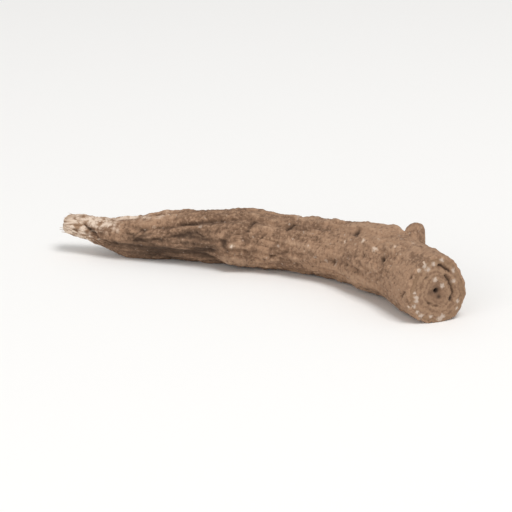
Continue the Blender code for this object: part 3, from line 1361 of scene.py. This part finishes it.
@dataclass(frozen=True)
class DriedBark(RootFinish):
    """Thin cork of a dried root: dull, dusty brown, with painted shade in its furrows, and rubbed
    pale on top.

    Over brown cork lie tan patches, dust on the ridges, sandy grains, pores, painted shade in the
    valleys, on the hollow side and under the tail, and pale flecks. Where the bark has gone, the
    wood is pale or stained. The cork is a little paler from the crown to the bend than on the tail.
    """

    name: str = "dried_root_bark"
    base: str = "#755944"
    coats: tuple[Coat, ...] = (
        Coat("tone", "#9D7C62", 1.27, 1.75),
        Coat("lie", "#B6967B", 0.02, 0.42, 0.75, broken_by="mottle"),
        Coat("grain", "#B6967B", 0.52, 0.70, 0.60, Slope.EVEN),
        Coat("grain", "#3F2C1F", 0.43, 0.28, 0.68, Slope.EVEN),
        # Painted shade: darker where the skin lies lower than round it, in valleys, cracks and
        # pits, on the hollow side and under the tail.
        Coat("lie", "#3A281B", -0.10, -0.85, 0.85),
        Coat("fleck", "#AF9B8B", 0.71, 0.76, 0.60, Slope.EVEN),
    )
    grains: tuple[Grain, ...] = (
        Grain("patch", 8.0, 2.0),
        Grain("mottle", 1.3, 4.0, 0.62),
        Grain("streak", 1.0, 3.0, 0.6, "drawn"),
        Grain("grain", 0.55, 3.0, 0.6),
        Grain("fleck", 1 / 0.95, 1.0, 0.5, "moved"),
    )
    roughness: float = 0.92
    relief: str = "fine"
    bump_height: float = 0.16
    stained_wood: str = "#9C7C61"
    clean_wood: Coat = Coat("mottle", "#DECAB7", 0.38, 0.56)
    bared: Coat = Coat("bare", "#DECAB7", 1.30, 1.95, 0.95)
    fleck_shift: tuple[float, float, float] = (31.0, 17.0, 5.0)
    streak_squeeze: tuple[float, float, float] = (1.0, 1.0, 0.16)
    mottle_weight: float = 1.5
    streak_weight: float = 0.5
    crown_end: float = 20.0
    tail_start: float = 58.0
    crown_tone: float = 0.16
    tail_tone: float = -0.08

    def places(self, tree: bpy.types.NodeTree, straight: Socket) -> Patterns:
        """Adds the places that the streaks and the flecks are read at.

        Args:
            tree: Node tree that takes the nodes.
            straight: Place on the root pulled straight.

        Returns:
            The place squeezed along the root, and the place moved, by name.
        """
        found = {}
        for name, operation, by in (
            ("drawn", "MULTIPLY", self.streak_squeeze),
            ("moved", "ADD", self.fleck_shift),
        ):
            options, inputs = {"operation": operation}, {0: straight, 1: by}
            found[name] = add_node(tree, "ShaderNodeVectorMath", options, inputs)
        return found

    def patterns(self, tree: bpy.types.NodeTree) -> Patterns:
        """Adds the patterns that the coats follow, with the tone, the relief and the bare wood.

        Args:
            tree: Node tree that takes the nodes.

        Returns:
            The value of each pattern by name.
        """
        found = super().patterns(tree)
        tone = found["patch"]
        for name, weight in (("mottle", self.mottle_weight), ("streak", self.streak_weight)):
            inputs = {0: found[name], 1: weight, 2: tone}
            tone = add_node(tree, "ShaderNodeMath", MULTIPLY_ADD, inputs)
        found["even"] = tone
        along = add_node(tree, "ShaderNodeSeparateXYZ", {}, {0: found["straight"]}, "Z")
        run = {"From Min": self.crown_end, "From Max": self.tail_start}
        found["along"] = add_node(
            tree,
            "ShaderNodeMapRange",
            {"interpolation_type": Slope.SOFT.value},
            {"Value": along, **run, "To Min": self.crown_tone, "To Max": self.tail_tone},
        )
        for name, first, second in (
            ("tone", "even", "along"),
            ("worn_mottle", "worn", "mottle"),
            ("bare", "worn_mottle", "streak"),
            ("fine", "grain", "streak"),
        ):
            inputs = {0: found[first], 1: found[second]}
            found[name] = add_node(tree, "ShaderNodeMath", {"operation": "ADD"}, inputs)
        return found

    def coloured(self, tree: bpy.types.NodeTree, found: Patterns) -> Socket:
        """Lays the coats over the base, and over them the bare wood, stained or clean."""
        wood = self.clean_wood.over(tree, found, linear(self.stained_wood))
        return self.bared.over(tree, found, super().coloured(tree, found), wood)


@dataclass(frozen=True)
class SawnRootWood(RootFinish):
    """Cross section of a dried root: dull tan wood in rings, a dark pith and a brown bark edge.

    The saw left it a little furry, so it has no gloss. Over tan wood lie the rings, the bark's
    edge, the darker heart, pale flecks and the shade of the holes. Sizes are in mm.
    """

    name: str = "sawn_root_wood"
    base: str = "#9B7C62"
    coats: tuple[Coat, ...] = (
        Coat("dots", "#785B46", 7.7, 11.3, 0.85),
        Coat("away", "#86694F", 5.2, 5.8, 0.6),
        Coat("wavy", "#785B46", 4.6, 2.0, 0.75),
        Coat("fleck", "#C8B6A7", 1.08, 1.90, 0.80),
        Coat("lie", "#33231A", -0.08, -0.5, 0.9),
    )
    grains: tuple[Grain, ...] = (
        Grain("waver", 1 / 0.35, 2.0),
        Grain("grain", 0.4, 3.0, 0.65),
        Grain("mottle", 1.1, 3.0, 0.6),
    )
    roughness: float = 0.9
    relief: str = "grain"
    bump_height: float = 0.12
    ring_spacing: float = 1.02
    ring_waver: float = 2.6
    mottle_weight: float = 13.0
    grain_weight: float = 5.0
    fleck_grain: float = 1.8

    def patterns(self, tree: bpy.types.NodeTree) -> Patterns:
        """Adds the patterns that the coats follow, with the rings about the axis of the root.

        Args:
            tree: Node tree that takes the nodes.

        Returns:
            The value of each pattern by name.
        """
        found = super().patterns(tree)
        length, inputs = {"operation": "LENGTH"}, {0: found["straight"]}
        found["away"] = add_node(tree, "ShaderNodeVectorMath", length, inputs, "Value")
        inputs = {0: found["waver"], 1: self.ring_waver, 2: found["away"]}
        found["wavy"] = add_node(tree, "ShaderNodeMath", MULTIPLY_ADD, inputs)
        inputs = {0: found["wavy"], 1: 2 * math.pi / self.ring_spacing}
        wave = add_node(tree, "ShaderNodeMath", {"operation": "MULTIPLY"}, inputs)
        found["wave"] = add_node(tree, "ShaderNodeMath", {"operation": "SINE"}, {0: wave})
        for name, pattern, weight, base in (
            ("spots", "mottle", self.mottle_weight, "wave"),
            ("dots", "grain", self.grain_weight, "spots"),
            ("fleck", "grain", self.fleck_grain, "worn"),
        ):
            inputs = {0: found[pattern], 1: weight, 2: found[base]}
            found[name] = add_node(tree, "ShaderNodeMath", MULTIPLY_ADD, inputs)
        return found


@dataclass(frozen=True)
class TornRootWood(RootFinish):
    """Bare wood fibres that tore rather than broke: pale straw, dull, browner in places."""

    name: str = "torn_root_wood"
    base: str = "#A88B72"
    coats: tuple[Coat, ...] = (Coat("patch", "#D6C2AD", 0.35, 0.65, slope=Slope.EVEN),)
    grains: tuple[Grain, ...] = ()
    roughness: float = 0.88
    patch_size: float = 1.0

    def patterns(self, tree: bpy.types.NodeTree) -> Patterns:
        """Adds the patches, on Object coordinates, because a sliver carries no marks.

        Args:
            tree: Node tree that takes the nodes.

        Returns:
            The value of the patches by name.
        """
        place = add_node(tree, "ShaderNodeTexCoord", {}, {}, "Object")
        inputs = {"Vector": place, "Scale": 1 / (self.patch_size * MM), "Detail": 2.0}
        return {"patch": add_node(tree, "ShaderNodeTexNoise", {}, inputs)}


@dataclass(frozen=True)
class PaperFloor:
    """Plain matte white studio paper."""

    white: str = "#F6F5F3"
    roughness: float = 0.95

    def material(self) -> bpy.types.Material:
        """Makes the material.

        Returns:
            The material.
        """
        material, shader = start_material("studio_paper", self.roughness)
        shader.inputs["Base Color"].default_value = linear(self.white)
        return material


@dataclass(frozen=True)
class SoftLamp:
    """A square studio lamp: its place and size in metres and its power in watts."""

    name: str
    place: tuple[float, float, float]
    size: float
    power: float

    def build(self) -> bpy.types.Object:
        """Hangs the lamp so that it faces the root.

        Returns:
            The lamp.
        """
        light = bpy.data.lights.new(self.name, "AREA")
        light.size = self.size
        light.energy = self.power
        lamp = bpy.data.objects.new(self.name, light)
        lamp.location = self.place
        lamp.rotation_euler = (-Vector(self.place)).to_track_quat("-Z", "Y").to_euler()
        bpy.context.scene.collection.objects.link(lamp)
        return lamp


@dataclass
class Studio:
    """White paper, soft lamps and a camera at the photograph's angle."""

    floor_size: float = 4.0
    lamps: tuple[SoftLamp, ...] = (
        SoftLamp("key_lamp", (0.45, -0.70, 1.50), 0.75, 17.5),
        SoftLamp("fill_lamp", (-0.95, -1.25, 0.55), 1.20, 7.5),
    )
    sky: str = "#FFFFFF"
    sky_strength: float = 0.50
    elevation: float = math.radians(18)
    distance: float = 0.42
    target: tuple[float, float, float] = (0.0, 0.0, 0.006)
    lens: float = 152.0
    clip_start: float = 0.01

    def build_floor(self) -> bpy.types.Object:
        """Lays the paper under the root.

        Returns:
            The floor.
        """
        shape = bmesh.new()
        bmesh.ops.create_grid(shape, x_segments=1, y_segments=1, size=self.floor_size / 2)
        floor = keep(shape, "studio_floor")
        floor.data.materials.append(PaperFloor().material())
        return floor

    def build_sky(self) -> None:
        """Surrounds the studio with even white light."""
        world = bpy.data.worlds.new("studio_sky")
        world.use_nodes = True
        background = world.node_tree.nodes["Background"]
        background.inputs["Color"].default_value = linear(self.sky)
        background.inputs["Strength"].default_value = self.sky_strength
        bpy.context.scene.world = world

    def build_camera(self) -> bpy.types.Object:
        """Sets the camera up in front of the root.

        Returns:
            The camera.
        """
        camera = bpy.data.objects.new("camera", bpy.data.cameras.new("camera"))
        camera.data.lens = self.lens
        camera.data.clip_start = self.clip_start
        target = Vector(self.target)
        away = Vector((0.0, -math.cos(self.elevation), math.sin(self.elevation))) * self.distance
        camera.location = target + away
        camera.rotation_euler = (-away).to_track_quat("-Z", "Y").to_euler()
        bpy.context.scene.collection.objects.link(camera)
        bpy.context.scene.camera = camera
        return camera

    def build(self) -> None:
        """Sets up the floor, the light and the camera."""
        self.build_floor()
        self.build_sky()
        for lamp in self.lamps:
            lamp.build()
        self.build_camera()
        bpy.context.scene.view_settings.view_transform = "Standard"


def main() -> None:
    """Builds the root and the studio and reports each piece."""
    logging.basicConfig(level=logging.INFO, format="%(message)s")
    skin = RootSkin()
    pieces = [skin.build()]
    skin.dress(pieces[0])
    pieces.append(TailFibres(skin).build())
    Studio().build()
    for piece in pieces:
        LOG.info("%s: %d faces", piece.name, len(piece.data.polygons))


if __name__ == "__main__":
    main()
